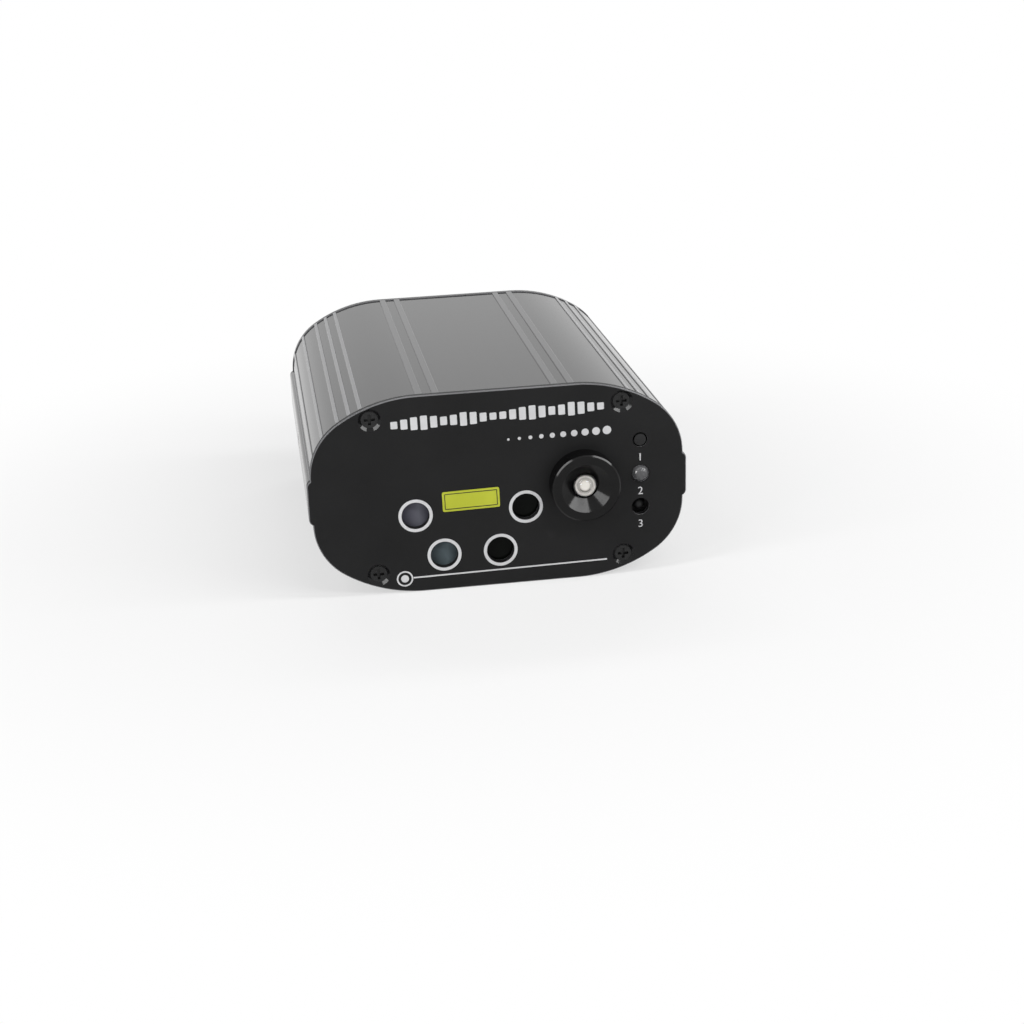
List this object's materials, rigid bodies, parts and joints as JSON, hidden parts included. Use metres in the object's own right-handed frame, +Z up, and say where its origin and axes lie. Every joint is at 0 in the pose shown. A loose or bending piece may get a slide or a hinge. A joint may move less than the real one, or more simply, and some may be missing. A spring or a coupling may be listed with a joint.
{
  "type": "laser show projector",
  "caption": "Compact laser and LED stage projector: a rounded ribbed housing between two panels, with laser apertures, an LED bezel and a mode button at the front.",
  "frame": {"origin": "mouth of the stand thread in the middle of the base, on the plane that the projector stands on", "axes": "+X to the right as seen from the front, +Y from the front panel to the rear panel, +Z up"},
  "size_m": [0.106, 0.1234, 0.057],
  "materials": {
    "housing": "satin black anodised",
    "panel": "matt black coat",
    "black_screw": "black oxide",
    "window_glass": "coated glass",
    "bezel": "polished black",
    "led_dome": "clear moulded",
    "frosted_led": "frosted moulded",
    "bare_aluminium": "machined",
    "laser_brass": "turned",
    "lens_glass": "clear",
    "steel": "nickel plated",
    "white_plastic": "moulded",
    "grating_film": "clear film",
    "circuit_board": "solder mask",
    "black_plastic": "moulded",
    "capacitor_sleeve": "shrink sleeve",
    "bearing_bronze": "sintered"
  },
  "bodies": {
    "housing": {"housing_shell": "housing", "front_panel": "panel", "rear_panel": "panel", "front_panel_screws": "black_screw", "rear_panel_screws": "black_screw", "led_bezel": "bezel", "bezel_nut": "steel", "led_emitter": "led_dome", "led_board": "white_plastic", "led_heatsink": "bare_aluminium", "laser_block": "bare_aluminium", "block_screws": "black_screw", "set_screws": "black_screw", "pattern_motor": "steel", "control_board": "circuit_board", "board_posts": "steel", "control_board_screws": "steel", "mode_switch": "black_plastic", "indicator_led": "frosted_led", "ir_receiver": "black_plastic", "main_board": "circuit_board", "lead_headers": "white_plastic", "capacitors": "capacitor_sleeve", "control_chip": "black_plastic", "driver_chips": "black_plastic", "power_inductor": "black_plastic", "fan_frame": "black_plastic", "fan_bush": "bearing_bronze", "fan_screws": "black_screw", "dc_jack": "black_plastic", "jack_pin": "steel", "jack_nut": "steel", "microphone": "bare_aluminium", "tripod_insert": "steel", "yoke_insert_left": "steel", "yoke_insert_right": "steel", "aperture_window_1": "window_glass", "laser_module_1": "laser_brass", "laser_lens_1": "lens_glass", "aperture_window_2": "window_glass", "laser_module_2": "laser_brass", "laser_lens_2": "lens_glass", "aperture_window_3": "window_glass", "laser_module_3": "laser_brass", "laser_lens_3": "lens_glass", "aperture_window_4": "window_glass", "laser_module_4": "laser_brass", "laser_lens_4": "lens_glass"},
    "grating": {"motor_shaft": "steel", "pattern_hub": "white_plastic", "pattern_disc": "grating_film"},
    "fan": {"fan_shaft": "steel", "fan_rotor": "black_plastic"},
    "button": {"mode_button": "black_plastic"}
  },
  "joints": [
    {"name": "grating_spin", "type": "hinge", "parent": "housing", "child": "grating", "pos_m": [-0.00825, -0.0504, 0.02375], "axis": [0, 1, 0], "continuous": true},
    {"name": "fan_spin", "type": "hinge", "parent": "housing", "child": "fan", "pos_m": [-0.01, 0.0505, 0.0285], "axis": [0, 1, 0], "continuous": true},
    {"name": "mode_press", "type": "slide", "parent": "housing", "child": "button", "axis": [0, 1, 0], "range_m": [0, 0.0008], "stiffness_N_per_m": 1500, "springref_m": -0.0002}
  ]
}
